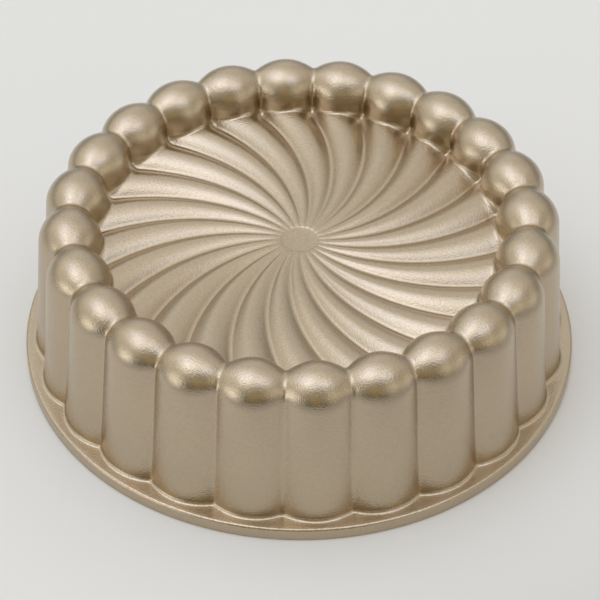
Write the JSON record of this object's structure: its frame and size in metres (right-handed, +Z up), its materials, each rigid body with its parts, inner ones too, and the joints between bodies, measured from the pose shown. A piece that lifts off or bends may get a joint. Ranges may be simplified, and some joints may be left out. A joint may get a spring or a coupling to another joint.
{
  "type": "fluted cake pan",
  "caption": "Round cast cake pan with a lobed wall, rounded crown and pinwheel-fluted base, stored upside down on its flat rim; turns out a flower-shaped cake.",
  "frame": {"origin": "centre of the rim face, in the plane that the pan stands on", "axes": "+Z up along the pan's axis, from the rim to the base; +X through the crest of one lobe"},
  "size_m": [0.25, 0.25, 0.0789],
  "materials": {
    "champagne_metal": "fine-grained satin metallic baked finish on a die casting",
    "release_lining": "smooth satin release lining with a metallic tint"
  },
  "bodies": {
    "root": {"cast_shell": "champagne_metal", "nonstick_lining": "release_lining"}
  },
  "joints": []
}
